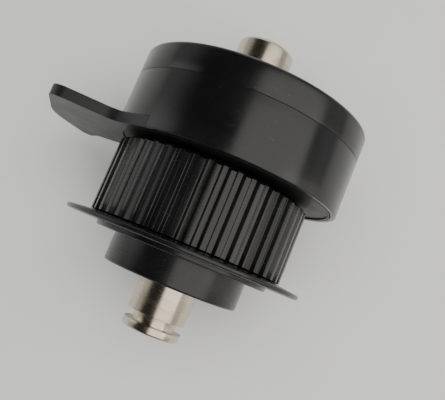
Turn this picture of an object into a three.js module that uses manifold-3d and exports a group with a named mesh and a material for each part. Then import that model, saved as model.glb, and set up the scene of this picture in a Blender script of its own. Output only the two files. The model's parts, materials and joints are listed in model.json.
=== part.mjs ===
// Timing belt pulley on a shaft, beside a drum housing with a side lever.
// Millimetres. The shaft lies along Y, from its grooved end at y = 0. +Z is up.

import * as THREE from 'three';
import { mergeVertices } from 'three/addons/utils/BufferGeometryUtils.js';
import Module from 'manifold-3d';

const wasm = await Module();
wasm.setup();

// Driving dimensions.
const SHAFT_R = 4;
const SHAFT_LENGTH = 42.4;
const RUNNING_GAP = 0.08;
const SEAT_GAP = 0.03;
const FACE_GAP = 0.04;
const TURN_STEPS = 30;
const WIDE_STEPS = 60;

const TOOTH_COUNT = 44;
const TIP_R = 13.54;
const TOOTH_DEPTH = 0.55;
const GROOVE_FLOOR = 0.68;
const GROOVE_MOUTH = 1.2;
const TOOTH_WIDTH = 9.75;
const TOOTH_PHASE = 2.6;

const HUB_R = 9.4;
const HUB_START = 6.85;
const FLANGE_R = 16.5;
const FLANGE_THICKNESS = 0.64;
const FLANGE_DROP = 0.45;
const FLANGE_FLAT_R = 12.6;
const LOCK_RING_R = 12.14;
const LOCK_RING_START = 10.62;
const TOOTH_START = 12.34;
const LEAD_IN = 0.7;
const LEAD_IN_DEPTH = 1.24;

const BALL_COUNT = 7;
const BALL_R = 0.98;
const BALL_CIRCLE_R = SHAFT_R + 2;
const BEARING_R = 8;
const BEARING_WIDTH = 5;
const FRONT_BEARING = 7.75;
const REAR_BEARING = 17.55;

const DRUM_R = 16.03;
const DRUM_OFFSET = 1.28;
const DRUM_START = 23.1;
const DRUM_END = 34.66;
const CAP_HEIGHT = 3.7;
const DRUM_WALL = 1.6;
const RIM_WIDTH = 0.7;
const LEVER_THICKNESS = 1.5;
const LEVER_ROOT_ANGLE = 132;
const BOSS_R = 6.6;
const BUSH_R = 5;

// Places worked out from the dimensions above.
const toothEnd = TOOTH_START + TOOTH_WIDTH;
const pulleyEnd = toothEnd + LEAD_IN;
const drumSeam = DRUM_END - CAP_HEIGHT;
const leverBack = DRUM_START + LEVER_THICKNESS;
const ringGroove = { start: 29.2, width: 0.9, r: 3.45 };
const endGroove = { start: 1.13, width: 1.22, r: 2.95 };

const part = new THREE.Group();
part.name = 'timing_belt_pulley';

const looks = {
  steel: { color: 0xb9b6ae, roughness: 0.25, metalness: 1 },
  springSteel: { color: 0x8d8b86, roughness: 0.35, metalness: 1 },
  bronze: { color: 0xa9793c, roughness: 0.5, metalness: 1 },
  nylon: { color: 0xd8cfb4, roughness: 0.6, metalness: 0 },
  blackPlastic: { color: 0x141516, roughness: 0.35, metalness: 0 },
};

function addPiece(name, geometry, look) {
  const material = new THREE.MeshStandardMaterial(looks[look]);
  material.name = name;
  const mesh = new THREE.Mesh(geometry, material);
  mesh.name = name;
  part.add(mesh);
}

// A solid of revolution about Y. The profile is [radius, y] pairs, going up the outside.
function revolve(profile, steps) {
  const points = profile.map(([r, y]) => new THREE.Vector2(r, y));
  return new THREE.LatheGeometry(points, steps);
}

// A ring of revolution: a closed profile that never touches the axis.
function ring(profile, steps) {
  return revolve([...profile, profile[0]], steps);
}

function tube(innerR, outerR, start, end, steps = TURN_STEPS) {
  return ring([[innerR, start], [outerR, start], [outerR, end], [innerR, end]], steps);
}

function cylinder(r, start, end, steps = TURN_STEPS) {
  return revolve([[0, start], [r, start], [r, end], [0, end]], steps);
}

// A flat plate standing across Y. The outline is [x, z] pairs.
function plate(outline, start, end) {
  const shape = new THREE.Shape(outline.map(([x, z]) => new THREE.Vector2(x, -z)));
  const geometry = new THREE.ExtrudeGeometry(shape, { depth: end - start, bevelEnabled: false });
  geometry.rotateX(-Math.PI / 2);
  geometry.translate(0, start, 0);
  return geometry;
}

function toSolid(geometry) {
  const bare = new THREE.BufferGeometry();
  bare.setAttribute('position', geometry.getAttribute('position'));
  bare.setIndex(geometry.index);
  const welded = mergeVertices(bare, 1e-4);
  const corners = welded.index.array;
  const kept = [];
  for (let i = 0; i < corners.length; i += 3) {
    const [a, b, c] = corners.slice(i, i + 3);
    if (a !== b && b !== c && c !== a) kept.push(a, b, c);
  }
  const mesh = new wasm.Mesh({
    numProp: 3,
    vertProperties: new Float32Array(welded.getAttribute('position').array),
    triVerts: new Uint32Array(kept),
  });
  return new wasm.Manifold(mesh);
}

function toGeometry(solid) {
  const mesh = solid.getMesh();
  const geometry = new THREE.BufferGeometry();
  geometry.setAttribute('position', new THREE.BufferAttribute(mesh.vertProperties, 3));
  geometry.setIndex(new THREE.BufferAttribute(mesh.triVerts, 1));
  geometry.computeVertexNormals();
  return geometry;
}

function onCircle(r, degrees, centreX = 0) {
  const angle = THREE.MathUtils.degToRad(degrees);
  return [centreX + r * Math.cos(angle), r * Math.sin(angle)];
}

function buildShaft() {
  const chamfer = 0.4;
  const profile = [
    [0, 0],
    [SHAFT_R - chamfer, 0],
    [SHAFT_R, chamfer],
    [SHAFT_R, endGroove.start],
    [endGroove.r, endGroove.start],
    [endGroove.r, endGroove.start + endGroove.width],
    [SHAFT_R, endGroove.start + endGroove.width],
    [SHAFT_R, ringGroove.start],
    [ringGroove.r, ringGroove.start],
    [ringGroove.r, ringGroove.start + ringGroove.width],
    [SHAFT_R, ringGroove.start + ringGroove.width],
    [SHAFT_R, SHAFT_LENGTH - chamfer],
    [SHAFT_R - chamfer, SHAFT_LENGTH],
    [0, SHAFT_LENGTH],
  ];
  addPiece('shaft', revolve(profile, TURN_STEPS), 'steel');
}

// The belt grooves are cut into the tip circle, one per tooth pitch.
function toothOutline() {
  const rootR = TIP_R - TOOTH_DEPTH;
  const mouthHalf = THREE.MathUtils.radToDeg(GROOVE_MOUTH / 2 / TIP_R);
  const floorHalf = THREE.MathUtils.radToDeg(GROOVE_FLOOR / 2 / rootR);
  const outline = [];
  for (let tooth = 0; tooth < TOOTH_COUNT; tooth += 1) {
    const centre = TOOTH_PHASE + (360 * tooth) / TOOTH_COUNT;
    outline.push(onCircle(TIP_R, centre - mouthHalf));
    outline.push(onCircle(rootR, centre - floorHalf));
    outline.push(onCircle(rootR, centre + floorHalf));
    outline.push(onCircle(TIP_R, centre + mouthHalf));
  }
  return outline;
}

function buildPulleyBody() {
  const blankR = TIP_R + 0.1;
  const leadInR = TIP_R - LEAD_IN_DEPTH;
  const overlap = 1;
  const edge = 0.3;
  const blank = revolve([
    [0, TOOTH_START],
    [blankR, TOOTH_START],
    [blankR, toothEnd],
    [leadInR, pulleyEnd],
    [0, pulleyEnd],
  ], 2 * TOOTH_COUNT);
  const hub = revolve([
    [0, HUB_START],
    [HUB_R - edge, HUB_START],
    [HUB_R, HUB_START + edge],
    [HUB_R, TOOTH_START + overlap],
    [0, TOOTH_START + overlap],
  ], WIDE_STEPS);
  const clipGroove = { start: HUB_START + 0.25, width: 0.56, r: BEARING_R + 0.45 };
  const shoulderR = BEARING_R - 1;
  const bore = revolve([
    [0, HUB_START - 1],
    [BEARING_R, HUB_START - 1],
    [BEARING_R, clipGroove.start],
    [clipGroove.r, clipGroove.start],
    [clipGroove.r, clipGroove.start + clipGroove.width],
    [BEARING_R, clipGroove.start + clipGroove.width],
    [BEARING_R, FRONT_BEARING + BEARING_WIDTH + FACE_GAP],
    [shoulderR, FRONT_BEARING + BEARING_WIDTH + FACE_GAP],
    [shoulderR, REAR_BEARING - FACE_GAP],
    [BEARING_R, REAR_BEARING - FACE_GAP],
    [BEARING_R, pulleyEnd + 1],
    [0, pulleyEnd + 1],
  ], TURN_STEPS);
  const body = toSolid(plate(toothOutline(), TOOTH_START, pulleyEnd))
    .intersect(toSolid(blank))
    .add(toSolid(hub))
    .subtract(toSolid(bore));
  addPiece('pulley_body', toGeometry(body), 'blackPlastic');
}

function buildFlange() {
  const boreR = HUB_R + SEAT_GAP;
  const top = TOOTH_START - FACE_GAP;
  const bottom = top - FLANGE_THICKNESS;
  const profile = [
    [boreR, bottom],
    [FLANGE_FLAT_R, bottom],
    [FLANGE_R, bottom - FLANGE_DROP],
    [FLANGE_R, top - FLANGE_DROP],
    [FLANGE_FLAT_R, top],
    [boreR, top],
  ];
  addPiece('belt_flange', ring(profile, WIDE_STEPS), 'blackPlastic');
  const lockEnd = bottom - FACE_GAP;
  const lockRing = tube(boreR, LOCK_RING_R, LOCK_RING_START, lockEnd, WIDE_STEPS);
  addPiece('flange_lock_ring', lockRing, 'blackPlastic');
}

// One side of a ball track: points on an arc that bulges by the track radius from the ball circle.
function trackArc(middle, side) {
  const trackR = BALL_R + RUNNING_GAP;
  const points = [];
  for (const degrees of [-45, -15, 15, 45]) {
    const angle = THREE.MathUtils.degToRad(degrees);
    points.push([BALL_CIRCLE_R + side * trackR * Math.cos(angle), middle + trackR * Math.sin(angle)]);
  }
  return points;
}

function buildRaces(label, start) {
  const end = start + BEARING_WIDTH;
  const middle = start + BEARING_WIDTH / 2;
  const innerTrack = trackArc(middle, -1);
  const outerTrack = trackArc(middle, 1);
  const innerLandR = innerTrack[0][0];
  const outerLandR = outerTrack[0][0];
  const innerBoreR = SHAFT_R + SEAT_GAP;
  const outerR = BEARING_R - SEAT_GAP;
  const inner = [
    [innerBoreR, start],
    [innerLandR, start],
    ...innerTrack,
    [innerLandR, end],
    [innerBoreR, end],
  ];
  const outer = [
    [outerLandR, start],
    [outerR, start],
    [outerR, end],
    [outerLandR, end],
    ...outerTrack.reverse(),
  ];
  addPiece(`${label}_bearing_inner_race`, ring(inner, TURN_STEPS), 'steel');
  addPiece(`${label}_bearing_outer_race`, ring(outer, TURN_STEPS), 'steel');
}

// A ring with one round window per ball.
function buildCage(label, start) {
  const middle = start + BEARING_WIDTH / 2;
  const halfWidth = BALL_R + 0.42;
  const halfWall = 0.32;
  const windowSteps = 10;
  const windowR = BALL_R + 2 * RUNNING_GAP;
  const innerR = BALL_CIRCLE_R - halfWall;
  const outerR = BALL_CIRCLE_R + halfWall;
  let cage = toSolid(tube(innerR, outerR, middle - halfWidth, middle + halfWidth));
  for (let ball = 0; ball < BALL_COUNT; ball += 1) {
    const window = new THREE.CylinderGeometry(windowR, windowR, 4 * halfWall, windowSteps);
    window.rotateZ(Math.PI / 2);
    window.translate(BALL_CIRCLE_R, middle, 0);
    window.rotateY((2 * Math.PI * ball) / BALL_COUNT);
    cage = cage.subtract(toSolid(window));
  }
  addPiece(`${label}_bearing_cage`, toGeometry(cage), 'nylon');
}

function buildBalls(label, start) {
  for (let ball = 0; ball < BALL_COUNT; ball += 1) {
    const sphere = new THREE.SphereGeometry(BALL_R, 9, 6);
    sphere.translate(BALL_CIRCLE_R, start + BEARING_WIDTH / 2, 0);
    sphere.rotateY((2 * Math.PI * ball) / BALL_COUNT);
    addPiece(`${label}_bearing_ball_${ball + 1}`, sphere, 'steel');
  }
}

// The shield sits between the lands of the races, at the bearing's outward end.
function buildShield(label, start) {
  const thickness = 0.25;
  const innerR = BALL_CIRCLE_R - 0.62;
  const outerR = BALL_CIRCLE_R + 0.7;
  addPiece(`${label}_bearing_shield`, tube(innerR, outerR, start, start + thickness), 'springSteel');
}

function buildBearings() {
  const shieldInset = 0.15;
  const rearShield = REAR_BEARING + BEARING_WIDTH - shieldInset - 0.25;
  for (const [label, start] of [['front', FRONT_BEARING], ['rear', REAR_BEARING]]) {
    buildRaces(label, start);
    buildCage(label, start);
    buildBalls(label, start);
  }
  buildShield('front', FRONT_BEARING + shieldInset);
  buildShield('rear', rearShield);
  const spacerStart = FRONT_BEARING + BEARING_WIDTH + FACE_GAP;
  const spacer = tube(SHAFT_R + SEAT_GAP, SHAFT_R + 1, spacerStart, REAR_BEARING - FACE_GAP);
  addPiece('race_spacer', spacer, 'steel');
}

// An open ring lying across Y, with its mouth facing +Z.
function openRing(innerR, outerR, mouthDegrees, start, end) {
  const steps = 24;
  const first = 90 + mouthDegrees / 2;
  const sweep = 360 - mouthDegrees;
  const outline = [];
  for (let step = 0; step <= steps; step += 1) {
    outline.push(onCircle(outerR, first + (sweep * step) / steps));
  }
  for (let step = steps; step >= 0; step -= 1) {
    outline.push(onCircle(innerR, first + (sweep * step) / steps));
  }
  return plate(outline, start, end);
}

function buildRetainers() {
  const clipStart = HUB_START + 0.28;
  const boreClip = openRing(BEARING_R - 0.8, BEARING_R + 0.32, 40, clipStart, clipStart + 0.5);
  addPiece('bore_retaining_ring', boreClip, 'springSteel');
  const shaftClipStart = ringGroove.start + 0.05;
  const shaftClip = openRing(3.55, 5.6, 70, shaftClipStart, shaftClipStart + 0.8);
  addPiece('shaft_retaining_ring', shaftClip, 'springSteel');
  const washerStart = REAR_BEARING + BEARING_WIDTH + FACE_GAP;
  const washer = tube(SHAFT_R + SEAT_GAP, 5.6, washerStart, washerStart + 0.6);
  addPiece('thrust_washer', washer, 'bronze');
}

// Rounds each corner [x, z, radius] of a closed outline into a short arc.
function roundCorners(corners) {
  const steps = 6;
  const outline = [];
  corners.forEach(([x, z, r], index) => {
    const before = corners[(index + corners.length - 1) % corners.length];
    const after = corners[(index + 1) % corners.length];
    const corner = new THREE.Vector2(x, z);
    if (!r) {
      outline.push([x, z]);
      return;
    }
    const toBefore = new THREE.Vector2(before[0], before[1]).sub(corner).normalize();
    const toAfter = new THREE.Vector2(after[0], after[1]).sub(corner).normalize();
    const half = Math.acos(toBefore.dot(toAfter)) / 2;
    const reach = r / Math.tan(half);
    const bisector = toBefore.clone().add(toAfter).normalize();
    const centre = corner.clone().addScaledVector(bisector, r / Math.sin(half));
    const from = corner.clone().addScaledVector(toBefore, reach).sub(centre);
    const turn = from.angleTo(corner.clone().addScaledVector(toAfter, reach).sub(centre));
    const side = Math.sign(from.cross(bisector)) || 1;
    for (let step = 0; step <= steps; step += 1) {
      const spoke = from.clone().rotateAround(new THREE.Vector2(), -side * turn * (step / steps));
      outline.push([centre.x + spoke.x, centre.y + spoke.y]);
    }
  });
  return outline;
}

// The lever leaves the drum's rim at a tangent, above and below, and ends in a broad paddle.
function leverOutline(rootAngle) {
  const innerX = -4;
  const upperRoot = onCircle(DRUM_R, rootAngle, DRUM_OFFSET);
  const lowerRoot = onCircle(DRUM_R, 354 - rootAngle, DRUM_OFFSET);
  return roundCorners([
    [innerX, 8, 0],
    [...upperRoot, 0],
    [-13.9, 7.9, 3],
    [-22.4, 9.3, 2],
    [-25.6, -4.5, 12],
    [-21.6, -13.8, 1],
    [-19.6, -9.9, 2.5],
    [-13.9, -7, 2.5],
    [...lowerRoot, 0],
    [innerX, -8, 0],
  ]);
}

function offsetCylinder(r, start, end, steps = WIDE_STEPS) {
  return cylinder(r, start, end, steps).translate(DRUM_OFFSET, 0, 0);
}

function buildLever() {
  const discR = DRUM_R - RIM_WIDTH - 0.08;
  const recess = 0.2;
  const backFace = leverBack - FACE_GAP;
  const lever = toSolid(plate(leverOutline(LEVER_ROOT_ANGLE), DRUM_START, backFace))
    .add(toSolid(offsetCylinder(discR, DRUM_START, backFace)))
    .subtract(toSolid(offsetCylinder(discR - 0.3, DRUM_START - 1, DRUM_START + recess)))
    .subtract(toSolid(cylinder(BOSS_R + 0.2, DRUM_START - 1, leverBack + 1)));
  addPiece('lever_arm', toGeometry(lever), 'blackPlastic');
}

function buildDrumBody() {
  const bossStart = DRUM_START + 0.35;
  const bossEnd = ringGroove.start - 0.1;
  const cavityStart = leverBack + DRUM_WALL;
  const recessR = DRUM_R - RIM_WIDTH;
  const drum = toSolid(offsetCylinder(DRUM_R, DRUM_START, drumSeam - FACE_GAP))
    .subtract(toSolid(offsetCylinder(recessR, DRUM_START - 1, leverBack)))
    .subtract(toSolid(plate(leverOutline(LEVER_ROOT_ANGLE - 0.6), DRUM_START - 1, leverBack)))
    .subtract(toSolid(offsetCylinder(DRUM_R - DRUM_WALL, cavityStart, drumSeam + 1)))
    .add(toSolid(cylinder(BOSS_R, bossStart, bossEnd)))
    .subtract(toSolid(cylinder(BUSH_R + SEAT_GAP, DRUM_START - 1, drumSeam + 1)));
  addPiece('drum_body', toGeometry(drum), 'blackPlastic');
}

function buildDrumCap() {
  const edge = 0.45;
  const spigotR = DRUM_R - DRUM_WALL - 0.08;
  const spigotStart = drumSeam - 1;
  const bossStart = ringGroove.start + ringGroove.width + 0.1;
  const shell = revolve([
    [0, spigotStart],
    [spigotR, spigotStart],
    [spigotR, drumSeam],
    [DRUM_R, drumSeam],
    [DRUM_R, DRUM_END - edge],
    [DRUM_R - edge, DRUM_END],
    [0, DRUM_END],
  ], WIDE_STEPS).translate(DRUM_OFFSET, 0, 0);
  const cap = toSolid(shell)
    .subtract(toSolid(offsetCylinder(spigotR - 1.4, spigotStart - 1, DRUM_END - DRUM_WALL)))
    .add(toSolid(cylinder(BOSS_R, bossStart, DRUM_END)))
    .subtract(toSolid(cylinder(BUSH_R + SEAT_GAP, spigotStart - 1, DRUM_END + 1)));
  addPiece('drum_cap', toGeometry(cap), 'blackPlastic');
}

function buildBushes() {
  const innerR = SHAFT_R + RUNNING_GAP;
  const frontStart = DRUM_START + 0.4;
  const frontEnd = ringGroove.start - 0.15;
  const rearStart = ringGroove.start + ringGroove.width + 0.15;
  addPiece('front_bush', tube(innerR, BUSH_R, frontStart, frontEnd), 'bronze');
  addPiece('rear_bush', tube(innerR, BUSH_R, rearStart, DRUM_END - 0.1), 'bronze');
}

buildShaft();
buildPulleyBody();
buildFlange();
buildBearings();
buildRetainers();
buildLever();
buildDrumBody();
buildDrumCap();
buildBushes();

export default part;
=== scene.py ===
import json
import math

import bmesh
import bpy
from mathutils import Matrix, Vector


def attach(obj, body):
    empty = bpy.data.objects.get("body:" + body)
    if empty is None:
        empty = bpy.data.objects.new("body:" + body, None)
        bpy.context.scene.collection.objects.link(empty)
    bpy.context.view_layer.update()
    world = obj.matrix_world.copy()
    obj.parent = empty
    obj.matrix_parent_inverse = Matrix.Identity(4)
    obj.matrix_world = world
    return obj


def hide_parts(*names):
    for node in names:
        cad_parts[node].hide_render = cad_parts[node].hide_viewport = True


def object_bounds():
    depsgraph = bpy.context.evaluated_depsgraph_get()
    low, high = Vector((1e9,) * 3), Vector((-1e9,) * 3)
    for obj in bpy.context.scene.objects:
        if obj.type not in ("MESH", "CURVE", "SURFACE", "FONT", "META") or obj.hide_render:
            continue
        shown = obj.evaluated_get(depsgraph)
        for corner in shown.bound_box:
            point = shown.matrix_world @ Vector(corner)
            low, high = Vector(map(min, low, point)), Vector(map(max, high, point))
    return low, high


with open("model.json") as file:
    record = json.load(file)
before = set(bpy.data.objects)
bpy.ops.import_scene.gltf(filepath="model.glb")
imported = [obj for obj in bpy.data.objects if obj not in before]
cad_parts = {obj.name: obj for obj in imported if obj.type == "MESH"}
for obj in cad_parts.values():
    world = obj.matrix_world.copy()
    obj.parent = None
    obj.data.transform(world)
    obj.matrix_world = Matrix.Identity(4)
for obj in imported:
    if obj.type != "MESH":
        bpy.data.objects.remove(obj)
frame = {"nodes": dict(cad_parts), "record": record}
cad_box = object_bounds()

# Driving dimensions in millimetres. The shaft axis is Y, from the grooved end at y = 0.
MM = 0.001
STEPS = 288
BEARING_STEPS = 144
SHAFT_R = 4.0
SHAFT_LENGTH = 42.4
END_GROOVE = (1.13, 2.35, 2.95)
RING_GROOVE = (29.2, 30.1, 3.45)

TOOTH_COUNT = 44
TIP_R = 13.54
TOOTH_DEPTH = 0.55
GROOVE_FLOOR = 0.68
GROOVE_MOUTH = 1.2
TOOTH_PHASE = 2.6
TOOTH_START = 12.34
TOOTH_END = 22.09
LEAD_IN = 0.7
LEAD_IN_DEPTH = 1.24

HUB_R = 9.4
HUB_START = 6.85
FLANGE_R = 16.5
FLANGE_FLAT_R = 12.6
FLANGE_THICKNESS = 0.64
FLANGE_DROP = 0.45
LOCK_RING_R = 12.14
LOCK_RING_START = 10.62

BORE_R = 8.0
CLIP_GROOVE_START = HUB_START + 0.25
CLIP_GROOVE_END = HUB_START + 0.81
CLIP_GROOVE_R = BORE_R + 0.45
CLIP_PLAY = 0.03
BEARING_FRONT = 7.75
BEARING_REAR = 17.55
BEARING_WIDTH = 5.0
BALL_CIRCLE_R = (SHAFT_R + BORE_R) / 2
BALL_TRACK_R = 1.06
SHIELD_THICKNESS = 0.25

DRUM_R = 16.03
DRUM_OFFSET = 1.28
DRUM_START = 23.1
DRUM_END = 34.66
DRUM_SEAM = 30.96
DRUM_WALL = 1.6
DISH_DEPTH = 0.35
RIM_WIDTH = 0.7
LEVER_THICKNESS = 1.5
LEVER_UPPER_ROOT = 132.0
LEVER_LOWER_ROOT = 222.0
NOTCH_UPPER_GAP = 0.25
NOTCH_LOWER_GAP = 3.25
BOSS_R = 6.6
BUSH_R = 5.0
SEAT_GAP = 0.03
FACE_GAP = 0.04


# ---- Mesh helpers ----

def add_object(name, verts, faces, sharp_degrees=32.0):
    mesh = bpy.data.meshes.new(name)
    mesh.from_pydata([tuple(c * MM for c in v) for v in verts], [], faces)
    obj = bpy.data.objects.new(name, mesh)
    bpy.context.scene.collection.objects.link(obj)
    clean_mesh(mesh)
    mesh.shade_smooth()
    mesh.set_sharp_from_angle(angle=math.radians(sharp_degrees))
    return obj


def clean_mesh(mesh):
    work = bmesh.new()
    work.from_mesh(mesh)
    bmesh.ops.remove_doubles(work, verts=work.verts, dist=1e-7)
    bmesh.ops.dissolve_degenerate(work, edges=work.edges, dist=1e-8)
    bmesh.ops.recalc_face_normals(work, faces=work.faces)
    work.to_mesh(mesh)
    work.free()


def round_corners(corners, closed=True, steps=4):
    """Turns each (u, v, radius) corner into a short arc of points."""
    points = []
    count = len(corners)
    for index, (u, v, radius) in enumerate(corners):
        at_end = not closed and index in (0, count - 1)
        if radius <= 0 or at_end:
            points.append((u, v))
            continue
        corner = Vector((u, v))
        before = Vector(corners[index - 1][:2])
        after = Vector(corners[(index + 1) % count][:2])
        to_before = (before - corner).normalized()
        to_after = (after - corner).normalized()
        half = to_before.angle(to_after) / 2
        if half > math.radians(89.5):
            points.append((u, v))
            continue
        reach = radius / math.tan(half)
        centre = corner + (to_before + to_after).normalized() * (radius / math.sin(half))
        first = corner + to_before * reach - centre
        last = corner + to_after * reach - centre
        turn = first.angle_signed(last)
        for step in range(steps + 1):
            spoke = first.copy()
            spoke.rotate(Matrix.Rotation(-turn * step / steps, 2))
            points.append(tuple(centre + spoke))
    return points


def ring_points(radius, y, angles, centre=0.0):
    return [(centre + radius * math.cos(a), y, radius * math.sin(a)) for a in angles]


def even_angles(steps=STEPS):
    return [2 * math.pi * i / steps for i in range(steps)]


def skin(name, rings, closed):
    """Joins rings of points into a surface. A closed skin joins its last ring to its first."""
    count = len(rings[0])
    verts = [point for ring in rings for point in ring]
    faces = []
    pairs = len(rings) if closed else len(rings) - 1
    for i in range(pairs):
        near = i * count
        far = ((i + 1) % len(rings)) * count
        for j in range(count):
            k = (j + 1) % count
            faces.append((near + j, near + k, far + k, far + j))
    if not closed:
        faces.append(tuple(range(count)))
        faces.append(tuple(range(len(verts) - count, len(verts))))
    return add_object(name, verts, faces)


def turned(name, corners, closed=True, centre=0.0, steps=STEPS):
    """A piece turned about Y from (radius, y, corner radius) corners."""
    profile = round_corners(corners, closed)
    angles = even_angles(steps)
    return skin(name, [ring_points(r, y, angles, centre) for r, y in profile], closed)


def place(obj, body, nodes, material):
    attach(obj, body)
    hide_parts(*nodes)
    obj.data.materials.clear()
    obj.data.materials.append(material)


# ---- Pieces ----

def build_shaft():
    lip = 0.06
    chamfer = 0.45
    middle_r = 0.6
    corners = [
        (middle_r, 0.0, 0),
        (SHAFT_R, 0.0, 0.32),
        (SHAFT_R, END_GROOVE[0], lip),
        (END_GROOVE[2], END_GROOVE[0], lip),
        (END_GROOVE[2], END_GROOVE[1], lip),
        (SHAFT_R, END_GROOVE[1], lip),
        (SHAFT_R, RING_GROOVE[0], lip),
        (RING_GROOVE[2], RING_GROOVE[0], lip),
        (RING_GROOVE[2], RING_GROOVE[1], lip),
        (SHAFT_R, RING_GROOVE[1], lip),
        (SHAFT_R, SHAFT_LENGTH - chamfer, 0.25),
        (SHAFT_R - chamfer, SHAFT_LENGTH, 0.18),
        (middle_r, SHAFT_LENGTH, 0),
    ]
    return turned("polished_shaft", corners, closed=False)


def tooth_outline():
    """The toothed cross-section as (radius, angle) pairs, with small rounds at every corner."""
    root_r = TIP_R - TOOTH_DEPTH
    mouth_half = GROOVE_MOUTH / 2 / TIP_R
    floor_half = GROOVE_FLOOR / 2 / root_r
    tip_round = 0.1
    root_round = 0.09
    corners = []
    for tooth in range(TOOTH_COUNT):
        centre = math.radians(TOOTH_PHASE) + 2 * math.pi * tooth / TOOTH_COUNT
        for radius, shift, corner_r in (
            (TIP_R, -mouth_half, tip_round),
            (root_r, -floor_half, root_round),
            (root_r, floor_half, root_round),
            (TIP_R, mouth_half, tip_round),
        ):
            angle = centre + shift
            corners.append((radius * math.cos(angle), radius * math.sin(angle), corner_r))
    points = round_corners(corners, steps=3)
    return [(math.hypot(x, z), math.atan2(z, x)) for x, z in points]


def build_pulley():
    """Teeth, hub and bearing bore as one skin: every ring has a point per outline point."""
    outline = tooth_outline()
    angles = [angle for _, angle in outline]
    pulley_end = TOOTH_END + LEAD_IN
    cone_large = TIP_R + 0.1
    cone_small = TIP_R - LEAD_IN_DEPTH
    edge = 0.05
    ring_pitch = 3.1
    lead_steps = 8
    web_r = BORE_R - 1
    front_seat = BEARING_FRONT + BEARING_WIDTH + FACE_GAP
    rear_seat = BEARING_REAR - FACE_GAP

    def toothed(y, limit, shrink=0.0):
        rings_r = [min(r, limit) - shrink for r, _ in outline]
        return [(r * math.cos(a), y, r * math.sin(a)) for r, a in zip(rings_r, angles)]

    rings = [toothed(TOOTH_START, cone_large, edge), toothed(TOOTH_START + edge, cone_large)]
    rings += [toothed(TOOTH_START + ring_pitch * i, cone_large) for i in (1, 2)]
    for i in range(lead_steps + 1):
        t = i / lead_steps
        limit = cone_large + (cone_small - cone_large) * t
        rings.append(toothed(TOOTH_END + LEAD_IN * t, limit))
    profile = round_corners([
        (cone_small - 0.12, pulley_end, 0),
        (BORE_R, pulley_end, 0.2),
        (BORE_R, rear_seat, 0),
        (web_r, rear_seat, 0.1),
        (web_r, front_seat, 0.1),
        (BORE_R, front_seat, 0),
        (BORE_R, CLIP_GROOVE_END, 0.04),
        (CLIP_GROOVE_R, CLIP_GROOVE_END, 0),
        (CLIP_GROOVE_R, CLIP_GROOVE_START, 0),
        (BORE_R, CLIP_GROOVE_START, 0.04),
        (BORE_R, HUB_START, 0.12),
        (HUB_R, HUB_START, 0.28),
        (HUB_R, TOOTH_START, 0),
    ], closed=False)
    rings += [ring_points(r, y, angles) for r, y in profile]
    return skin("toothed_pulley", rings, closed=True)


def build_flange():
    bore = HUB_R + SEAT_GAP
    top = TOOTH_START - FACE_GAP
    bottom = top - FLANGE_THICKNESS
    flare_bend = 1.5
    edge_round = 0.26
    return turned("flared_flange", [
        (bore, bottom, 0.05),
        (FLANGE_FLAT_R, bottom, flare_bend),
        (FLANGE_R, bottom - FLANGE_DROP, edge_round),
        (FLANGE_R, top - FLANGE_DROP, edge_round),
        (FLANGE_FLAT_R, top, flare_bend),
        (bore, top, 0.05),
    ])


def build_lock_ring():
    bore = HUB_R + SEAT_GAP
    top = TOOTH_START - 2 * FACE_GAP - FLANGE_THICKNESS
    return turned("flange_seat_ring", [
        (bore, LOCK_RING_START, 0.12),
        (LOCK_RING_R, LOCK_RING_START, 0.22),
        (LOCK_RING_R, top, 0.06),
        (bore, top, 0.04),
    ])


def drum_angles():
    """Even angles about the drum's axis, with a close pair at each side of the lever's notch."""
    low = math.radians(LEVER_UPPER_ROOT - NOTCH_UPPER_GAP)
    high = math.radians(LEVER_LOWER_ROOT + NOTCH_LOWER_GAP)
    tiny = 1e-5
    extra = [low - tiny, low + tiny, high - tiny, high + tiny]
    return sorted(even_angles() + extra), low, high


def build_drum_body():
    """The drum's rim, wall and floor, with a boss round the shaft and the notch for the lever."""
    angles, low, high = drum_angles()
    lever_back = DRUM_START + LEVER_THICKNESS
    recess = DRUM_R - RIM_WIDTH
    seam = DRUM_SEAM - FACE_GAP
    cavity = lever_back + DRUM_WALL
    boss_start = DRUM_START + 0.35
    boss_end = RING_GROOVE[0] - 0.1
    inside_r = DRUM_R - DRUM_WALL
    hole = BUSH_R + SEAT_GAP
    outer = round_corners([
        (recess, lever_back, 0),
        (recess, DRUM_START, 0.14),
        (DRUM_R, DRUM_START, 0.2),
        (DRUM_R, lever_back, 0),
        (DRUM_R, seam, 0.03),
        (inside_r, seam, 0.1),
        (inside_r, cavity, 0.3),
        (BOSS_R + 2, cavity, 0),
    ], closed=False)
    rings = []
    for r, y in outer:
        ring = []
        for a in angles:
            in_notch = low <= a <= high
            depth = max(y, lever_back) if in_notch else y
            ring.append((DRUM_OFFSET + r * math.cos(a), depth, r * math.sin(a)))
        rings.append(ring)
    inner = [
        (BOSS_R, cavity),
        (BOSS_R, boss_end),
        (hole, boss_end),
        (hole, boss_start),
        (BOSS_R, boss_start),
        (BOSS_R, lever_back),
    ]
    rings += [ring_points(r, y, angles) for r, y in inner]
    return skin("drum_housing", rings, closed=True)


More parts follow.
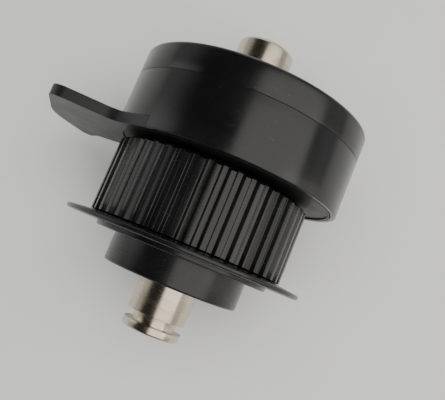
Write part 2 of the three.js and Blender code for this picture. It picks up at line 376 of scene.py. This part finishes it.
def build_drum_cap():
    """The end cap: a spigot inside the drum, a raised rim, a dished face and a collar at the bush."""
    angles = even_angles()
    spigot = DRUM_R - DRUM_WALL - 0.08
    spigot_start = DRUM_SEAM - 1
    boss_start = RING_GROOVE[1] + 0.1
    hole = BUSH_R + SEAT_GAP
    rim_width = 1.6
    rim_slope = 0.3
    spigot_bore = spigot - 1.4
    dish_y = DRUM_END - DISH_DEPTH
    collar_y = DRUM_END - 0.02
    inner_y = DRUM_END - DRUM_WALL
    outside = round_corners([
        (spigot_bore, spigot_start, 0),
        (spigot, spigot_start, 0.15),
        (spigot, DRUM_SEAM, 0),
        (DRUM_R, DRUM_SEAM, 0.03),
        (DRUM_R, DRUM_END, 0.5),
        (DRUM_R - rim_width, DRUM_END, 0.15),
        (DRUM_R - rim_width - rim_slope, dish_y, 0.15),
        (BOSS_R + 3.2, dish_y, 0),
    ], closed=False)
    rings = [ring_points(r, y, angles, DRUM_OFFSET) for r, y in outside]
    middle = round_corners([
        (BOSS_R + 0.9, dish_y, 0),
        (BOSS_R + 0.6, dish_y, 0.15),
        (BOSS_R + 0.3, collar_y, 0.12),
        (hole, collar_y, 0.12),
        (hole, boss_start, 0),
        (BOSS_R, boss_start, 0.1),
        (BOSS_R, inner_y, 0.2),
    ], closed=False)
    rings += [ring_points(r, y, angles) for r, y in middle]
    rings.append(ring_points(spigot_bore, inner_y, angles, DRUM_OFFSET))
    return skin("drum_end_cap", rings, closed=True)


def lever_outline():
    """The lever's edge: paddle and rim fillets, then round the disc inside the drum's rim."""
    upper = math.radians(LEVER_UPPER_ROOT)
    lower = math.radians(LEVER_LOWER_ROOT)
    disc_r = DRUM_R - RIM_WIDTH - 0.08
    upper_root = (DRUM_OFFSET + DRUM_R * math.cos(upper), DRUM_R * math.sin(upper))
    lower_root = (DRUM_OFFSET + DRUM_R * math.cos(lower), DRUM_R * math.sin(lower))
    arm = round_corners([
        (*upper_root, 0),
        (-13.9, 7.9, 3.0),
        (-22.4, 9.3, 2.0),
        (-25.6, -4.5, 12.0),
        (-21.6, -13.8, 1.0),
        (-19.6, -9.9, 2.5),
        (-13.9, -7.0, 2.5),
        (*lower_root, 0),
    ], closed=False, steps=14)
    leftmost = cad_box[0][0] / MM
    arm = [(max(x, leftmost), z) for x, z in arm]
    sweep = 2 * math.pi - (lower - upper)
    disc_steps = 200
    disc = []
    for i in range(disc_steps + 1):
        a = lower + sweep * i / disc_steps
        disc.append((DRUM_OFFSET + disc_r * math.cos(a), disc_r * math.sin(a)))
    return arm + disc


def build_lever():
    """A flat plate with a shallow recess around the shaft hole, its edges rounded by a bevel."""
    back = DRUM_START + LEVER_THICKNESS - FACE_GAP
    recess_y = DRUM_START + 0.2
    recess_r = DRUM_R - RIM_WIDTH - 0.38
    hole_r = BOSS_R + 0.2
    work = bmesh.new()

    def loop(points, y):
        verts = [work.verts.new((x * MM, y * MM, z * MM)) for x, z in points]
        edges = [work.edges.new((verts[i - 1], verts[i])) for i in range(len(verts))]
        return verts, edges

    def circle(radius, centre):
        return [(centre + radius * math.cos(a), radius * math.sin(a)) for a in even_angles(144)]

    def wall(first, second):
        for i in range(len(first)):
            work.faces.new((first[i - 1], first[i], second[i], second[i - 1]))

    outline = lever_outline()
    front, front_edges = loop(outline, DRUM_START)
    rear, rear_edges = loop(outline, back)
    rim, rim_edges = loop(circle(recess_r, DRUM_OFFSET), DRUM_START)
    floor_rim, _ = loop(circle(recess_r, DRUM_OFFSET), recess_y)
    floor_hole, _ = loop(circle(hole_r, 0.0), recess_y)
    rear_hole, rear_hole_edges = loop(circle(hole_r, 0.0), back)
    wall(front, rear)
    wall(rim, floor_rim)
    wall(floor_rim, floor_hole)
    wall(floor_hole, rear_hole)
    bmesh.ops.triangle_fill(work, use_beauty=True, edges=front_edges + rim_edges)
    bmesh.ops.triangle_fill(work, use_beauty=True, edges=rear_edges + rear_hole_edges)
    bmesh.ops.recalc_face_normals(work, faces=work.faces)
    mesh = bpy.data.meshes.new("side_lever")
    work.to_mesh(mesh)
    work.free()
    mesh.shade_smooth()
    obj = bpy.data.objects.new("side_lever", mesh)
    bpy.context.scene.collection.objects.link(obj)
    bevel = obj.modifiers.new("edge_round", "BEVEL")
    bevel.width = 0.16 * MM
    bevel.segments = 3
    bevel.limit_method = "ANGLE"
    bevel.angle_limit = math.radians(50)
    bevel.harden_normals = True
    return obj


def race_corners(side, start):
    """A bearing race: side -1 is the inner one. Its track is an arc round the ball circle."""
    middle = start + BEARING_WIDTH / 2
    land = BALL_CIRCLE_R + side * BALL_TRACK_R * math.cos(math.radians(45))
    bore = SHAFT_R + SEAT_GAP if side < 0 else BORE_R - SEAT_GAP
    track = []
    for degrees in range(-45, 46, 9):
        a = math.radians(degrees)
        radius = BALL_CIRCLE_R + side * BALL_TRACK_R * math.cos(a)
        track.append((radius, middle + BALL_TRACK_R * math.sin(a), 0))
    end = start + BEARING_WIDTH
    return [(bore, start, 0.25), (land, start, 0.1), *track, (land, end, 0.1), (bore, end, 0.25)]


def build_front_shield():
    inner, outer = 5.38, 6.7
    start = BEARING_FRONT + 0.15
    end = start + SHIELD_THICKNESS
    return turned("front_shield", [
        (inner, start, 0.05),
        (inner + 0.32, start, 0.1),
        (outer, start, 0.06),
        (outer, end, 0.05),
        (inner, end, 0.05),
    ], steps=BEARING_STEPS)


def build_rear_bush():
    bore = SHAFT_R + 0.08
    start = RING_GROOVE[1] + 0.15
    end = DRUM_END - 0.1
    return turned("rear_bush_sleeve", [
        (bore, start, 0.1),
        (BUSH_R, start, 0.1),
        (BUSH_R, end, 0.15),
        (bore, end, 0.2),
    ], steps=BEARING_STEPS)


def build_clip_ring():
    """The open retaining ring in the hub's mouth. It widens inwards to a lug at each tip."""
    inner, outer = BORE_R - 0.8, BORE_R + 0.3
    start, end = CLIP_GROOVE_START + CLIP_PLAY, CLIP_GROOVE_END - CLIP_PLAY
    opening = math.radians(40)
    lug_span = math.radians(9)
    lug_height = 0.75
    steps = 140
    sections = []
    for i in range(steps + 1):
        t = i / steps
        a = math.pi / 2 + opening / 2 + (2 * math.pi - opening) * t
        from_tip = min(t, 1 - t) * (2 * math.pi - opening)
        swell = lug_height * max(0.0, 1 - (from_tip / lug_span) ** 2) ** 0.5
        band = round_corners([
            (inner - swell, start, 0.08),
            (outer, start, 0.08),
            (outer, end, 0.08),
            (inner - swell, end, 0.08),
        ], steps=2)
        sections.append([(r * math.cos(a), y, r * math.sin(a)) for r, y in band])
    return skin("hub_retaining_ring", sections, closed=False)


# ---- Materials ----

def new_material(name):
    material = bpy.data.materials.new(name)
    material.use_nodes = True
    return material, material.node_tree, material.node_tree.nodes["Principled BSDF"]


def part_position(tree, scale):
    """Object position, scaled per axis. A large Y scale gives fine lines round the shaft axis."""
    coords = tree.nodes.new("ShaderNodeTexCoord")
    mapping = tree.nodes.new("ShaderNodeMapping")
    mapping.inputs["Scale"].default_value = scale
    tree.links.new(coords.outputs["Object"], mapping.inputs["Vector"])
    return mapping.outputs["Vector"]


def noise_field(tree, scale_xyz, detail=4.0, roughness=0.6, distortion=0.0):
    node = tree.nodes.new("ShaderNodeTexNoise")
    node.inputs["Scale"].default_value = 1.0
    node.inputs["Detail"].default_value = detail
    node.inputs["Roughness"].default_value = roughness
    node.inputs["Distortion"].default_value = distortion
    tree.links.new(part_position(tree, scale_xyz), node.inputs["Vector"])
    return node.outputs["Fac"]


def remap(tree, value, from_low, from_high, to_low=0.0, to_high=1.0):
    node = tree.nodes.new("ShaderNodeMapRange")
    node.inputs["From Min"].default_value = from_low
    node.inputs["From Max"].default_value = from_high
    node.inputs["To Min"].default_value = to_low
    node.inputs["To Max"].default_value = to_high
    tree.links.new(value, node.inputs["Value"])
    return node.outputs["Result"]


def arithmetic(tree, operation, a, b):
    node = tree.nodes.new("ShaderNodeMath")
    node.operation = operation
    for socket, value in zip(node.inputs, (a, b)):
        if isinstance(value, (int, float)):
            socket.default_value = value
        else:
            tree.links.new(value, socket)
    return node.outputs["Value"]


def mix_colour(tree, factor, first, second):
    node = tree.nodes.new("ShaderNodeMix")
    node.data_type = "RGBA"
    tree.links.new(factor, node.inputs["Factor"])
    for socket, value in ((node.inputs["A"], first), (node.inputs["B"], second)):
        if isinstance(value, tuple):
            socket.default_value = (*value, 1.0)
        else:
            tree.links.new(value, socket)
    return node.outputs["Result"]


def add_bump(tree, shader, height, strength, distance):
    node = tree.nodes.new("ShaderNodeBump")
    node.inputs["Strength"].default_value = strength
    node.inputs["Distance"].default_value = distance * MM
    tree.links.new(height, node.inputs["Height"])
    tree.links.new(node.outputs["Normal"], shader.inputs["Normal"])


def black_plastic(name, base, worn, rough_low, rough_high, line_strength):
    """Moulded black plastic. Base and worn are grey levels under haze, fine lines, dust and scuffs."""
    material, tree, shader = new_material(name)
    haze = noise_field(tree, (140, 140, 140), detail=5)
    lines = noise_field(tree, (25, 9000, 25), detail=3, roughness=0.75)
    grain = noise_field(tree, (5200, 5200, 5200), detail=2)
    scuffs = noise_field(tree, (500, 2600, 500), detail=6, roughness=0.7, distortion=0.6)
    specks = noise_field(tree, (6500, 6500, 6500), detail=1, roughness=0.3)
    dust = remap(tree, specks, 0.79, 0.83)
    scuff_mask = remap(tree, scuffs, 0.62, 0.75)
    worn_mask = remap(tree, haze, 0.35, 0.7)
    tinted = mix_colour(tree, worn_mask, (base, base, base), (worn, worn, worn))
    scuff_amount = arithmetic(tree, "MULTIPLY", scuff_mask, 0.35)
    scuffed = mix_colour(tree, scuff_amount, tinted, (0.05, 0.05, 0.052))
    dust_amount = arithmetic(tree, "MULTIPLY", dust, 0.5)
    dusted = mix_colour(tree, dust_amount, scuffed, (0.2, 0.195, 0.18))
    tree.links.new(dusted, shader.inputs["Base Color"])
    soft = remap(tree, haze, 0.3, 0.72, rough_low, rough_high)
    lined = arithmetic(tree, "ADD", soft, remap(tree, lines, 0.45, 0.75, 0.0, 0.07))
    rough = arithmetic(tree, "ADD", lined, arithmetic(tree, "MULTIPLY", scuff_mask, 0.12))
    tree.links.new(rough, shader.inputs["Roughness"])
    ridges = arithmetic(tree, "MULTIPLY", lines, line_strength)
    height = arithmetic(tree, "ADD", ridges, arithmetic(tree, "MULTIPLY", grain, 0.35))
    add_bump(tree, shader, height, 0.25, 0.012)
    shader.inputs["IOR"].default_value = 1.52
    return material


def ground_steel(name, bright, dark, rough_low, rough_high):
    """Ground and polished steel: lathe lines round the axis, faint brown staining, light pitting."""
    material, tree, shader = new_material(name)
    lines = noise_field(tree, (12, 14000, 12), detail=4, roughness=0.8)
    stains = noise_field(tree, (260, 420, 260), detail=6, roughness=0.65, distortion=0.4)
    pits = noise_field(tree, (2600, 2600, 2600), detail=2, roughness=0.5)
    stain_mask = remap(tree, stains, 0.52, 0.74, 0.0, 0.55)
    clean = mix_colour(tree, remap(tree, lines, 0.3, 0.7), dark, bright)
    stained = mix_colour(tree, stain_mask, clean, (0.33, 0.27, 0.2))
    tree.links.new(stained, shader.inputs["Base Color"])
    brushed = remap(tree, lines, 0.3, 0.75, rough_low, rough_high)
    rough = arithmetic(tree, "ADD", brushed, arithmetic(tree, "MULTIPLY", stain_mask, 0.2))
    tree.links.new(rough, shader.inputs["Roughness"])
    height = arithmetic(tree, "ADD", lines, arithmetic(tree, "MULTIPLY", pits, 0.4))
    add_bump(tree, shader, height, 0.2, 0.006)
    shader.inputs["Metallic"].default_value = 1.0
    return material


def sintered_bronze():
    material, tree, shader = new_material("sintered_bronze")
    pores = noise_field(tree, (3800, 3800, 3800), detail=3)
    patches = noise_field(tree, (300, 300, 300), detail=4)
    patch_mask = remap(tree, patches, 0.35, 0.65)
    base = mix_colour(tree, patch_mask, (0.36, 0.2, 0.08), (0.55, 0.36, 0.16))
    pored = mix_colour(tree, remap(tree, pores, 0.58, 0.7, 0.0, 0.7), base, (0.12, 0.07, 0.03))
    tree.links.new(pored, shader.inputs["Base Color"])
    tree.links.new(remap(tree, patches, 0.3, 0.7, 0.38, 0.55), shader.inputs["Roughness"])
    add_bump(tree, shader, pores, 0.4, 0.01)
    shader.inputs["Metallic"].default_value = 1.0
    return material


def moulded_nylon():
    material, tree, shader = new_material("moulded_nylon")
    mottle = noise_field(tree, (450, 450, 450), detail=4)
    grain = noise_field(tree, (4200, 4200, 4200), detail=2)
    mottle_mask = remap(tree, mottle, 0.3, 0.7)
    colour = mix_colour(tree, mottle_mask, (0.56, 0.49, 0.34), (0.7, 0.64, 0.5))
    tree.links.new(colour, shader.inputs["Base Color"])
    tree.links.new(remap(tree, mottle, 0.3, 0.7, 0.42, 0.58), shader.inputs["Roughness"])
    add_bump(tree, shader, grain, 0.3, 0.01)
    shader.inputs["Subsurface Weight"].default_value = 0.1
    shader.inputs["Subsurface Scale"].default_value = 0.4 * MM
    return material


def pale_floor():
    material, tree, shader = new_material("pale_floor")
    mottle = noise_field(tree, (9, 9, 9), detail=3)
    colour = mix_colour(tree, mottle, (0.58, 0.58, 0.57), (0.64, 0.64, 0.63))
    tree.links.new(colour, shader.inputs["Base Color"])
    shader.inputs["Roughness"].default_value = 0.85
    return material


# ---- Stage ----

def build_floor():
    half = 700.0
    low = -FLANGE_R - 0.02
    corners = [(-half, -half, low), (half, -half, low), (half, half, low), (-half, half, low)]
    floor = add_object("studio_floor", corners, [(0, 1, 2, 3)])
    floor.data.materials.append(pale_floor())


def add_light(name, place_mm, size_mm, watts, colour, aim_mm=(0.0, 20.0, 0.0)):
    data = bpy.data.lights.new(name, "AREA")
    data.shape = "RECTANGLE"
    data.size = size_mm[0] * MM
    data.size_y = size_mm[1] * MM
    data.energy = watts
    data.color = colour
    light = bpy.data.objects.new(name, data)
    light.location = Vector(place_mm) * MM
    aim = Vector(aim_mm) * MM - light.location
    light.rotation_euler = aim.to_track_quat("-Z", "Y").to_euler()
    light.visible_camera = False
    bpy.context.scene.collection.objects.link(light)
    return light


def build_lights():
    add_light("window_upper", (128, 20, 216), (330, 330), 0.62, (1.0, 0.98, 0.95))
    add_light("window_lower", (290, 20, 60), (120, 330), 0.09, (1.0, 0.95, 0.88))
    add_light("left_card", (-300, 40, 60), (120, 240), 0.06, (0.93, 1.0, 0.95))
    add_light("back_card", (0, 330, 120), (260, 120), 0.12, (1.0, 1.0, 1.0))
    overhead = add_light("floor_wash", (-40, 20, 420), (500, 500), 2.4, (1.0, 1.0, 1.0))
    overhead.visible_glossy = False


def build_world():
    """Pale near the horizon and dark overhead, so the black plastic stays deep from above."""
    world = bpy.data.worlds.new("studio")
    world.use_nodes = True
    tree = world.node_tree
    background = tree.nodes["Background"]
    coords = tree.nodes.new("ShaderNodeTexCoord")
    split = tree.nodes.new("ShaderNodeSeparateXYZ")
    tree.links.new(coords.outputs["Generated"], split.inputs["Vector"])
    height = remap(tree, split.outputs["Z"], 0.18, 0.5)
    colour = mix_colour(tree, height, (0.5, 0.5, 0.5), (0.02, 0.02, 0.021))
    tree.links.new(colour, background.inputs["Color"])
    bpy.context.scene.world = world


def build_camera():
    """Looks down on the part from above its hub, with the shaft leaning to the right."""
    data = bpy.data.cameras.new("photo_view")
    data.sensor_fit = "HORIZONTAL"
    data.sensor_width = 36.0
    data.lens = 46.13
    data.clip_start = 0.002
    camera = bpy.data.objects.new("photo_view", data)
    right = Vector((0.9238, 0.3802, 0.0464))
    forward = Vector((0.0, 0.1212, -0.9926)).normalized()
    right = (right - forward * right.dot(forward)).normalized()
    up = right.cross(forward)
    turn = Matrix((right, up, -forward)).transposed().to_4x4()
    camera.matrix_world = Matrix.Translation(Vector((2.27, 10.65, 77.63)) * MM) @ turn
    bpy.context.scene.collection.objects.link(camera)
    bpy.context.scene.camera = camera


# ---- Assembly ----

gloss_black = black_plastic("gloss_black_plastic", 0.0035, 0.006, 0.15, 0.24, 0.8)
satin_black = black_plastic("satin_black_plastic", 0.004, 0.007, 0.2, 0.31, 0.4)
lever_black = black_plastic("lever_black_plastic", 0.006, 0.011, 0.36, 0.5, 0.3)
# The shaft steel's warm cream and brown tint is painted warm light and painted reflection of its
# surroundings; its lighter and darker lathe lines and brown stains are the steel's own.
shaft_steel_painted_warm_light = ground_steel("ground_shaft_steel_painted_warm_light", (0.74, 0.65, 0.52), (0.56, 0.48, 0.37), 0.17, 0.3)
race_steel = ground_steel("race_steel", (0.66, 0.65, 0.63), (0.5, 0.49, 0.48), 0.16, 0.28)
spring_steel = ground_steel("spring_steel", (0.3, 0.3, 0.3), (0.2, 0.2, 0.21), 0.28, 0.42)
bronze = sintered_bronze()
nylon = moulded_nylon()

place(build_shaft(), "axle", ["shaft"], shaft_steel_painted_warm_light)
place(build_pulley(), "pulley", ["pulley_body"], satin_black)
place(build_flange(), "pulley", ["belt_flange"], satin_black)
place(build_lock_ring(), "pulley", ["flange_lock_ring"], satin_black)
place(build_drum_body(), "drum", ["drum_body"], gloss_black)
place(build_drum_cap(), "drum", ["drum_cap"], gloss_black)
place(build_lever(), "drum", ["lever_arm"], lever_black)
place(build_clip_ring(), "pulley", ["bore_retaining_ring"], spring_steel)

front_inner = turned("front_inner_race", race_corners(-1, BEARING_FRONT), steps=BEARING_STEPS)
place(front_inner, "axle", ["front_bearing_inner_race"], race_steel)
front_outer = turned("front_outer_race", race_corners(1, BEARING_FRONT), steps=BEARING_STEPS)
place(front_outer, "pulley", ["front_bearing_outer_race"], race_steel)
place(build_front_shield(), "pulley", ["front_bearing_shield"], spring_steel)
place(build_rear_bush(), "drum", ["rear_bush"], bronze)

inner_looks = {
    "steel": race_steel,
    "spring_steel": spring_steel,
    "bronze": bronze,
    "nylon": nylon,
    "black_plastic": satin_black,
}
for subpart in frame["record"]["subparts"]:
    node = frame["nodes"][subpart["node"]]
    node.data.materials.clear()
    node.data.materials.append(inner_looks[subpart["material_slot"]])

build_floor()
build_lights()
build_world()
build_camera()
